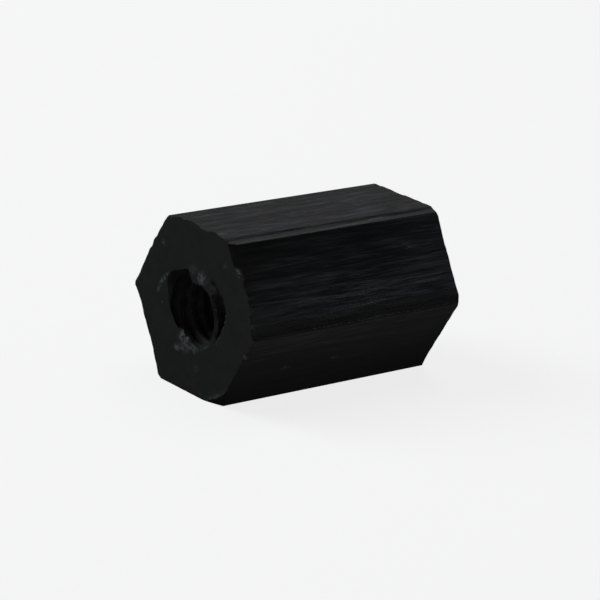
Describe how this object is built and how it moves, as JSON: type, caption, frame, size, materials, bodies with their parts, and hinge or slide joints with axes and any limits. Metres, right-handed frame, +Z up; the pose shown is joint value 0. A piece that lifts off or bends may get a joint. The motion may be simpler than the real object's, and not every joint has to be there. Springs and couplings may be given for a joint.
{
  "type": "hex standoff",
  "caption": "Black hexagonal standoff, tapped right through, that spaces a board or panel off a chassis with a screw in each end.",
  "frame": {"origin": "middle of the flat that the standoff rests on, straight below the bore axis and midway between the end faces", "axes": "+X along the bore, towards the far end; +Z up, square to the resting flat; +Y across the corners"},
  "size_m": [0.0094, 0.0068, 0.006],
  "materials": {
    "black_nylon": "machined black nylon, dull ends, drawn flats with fine lengthwise lines"
  },
  "bodies": {
    "root": {"standoff": "black_nylon"}
  },
  "joints": []
}
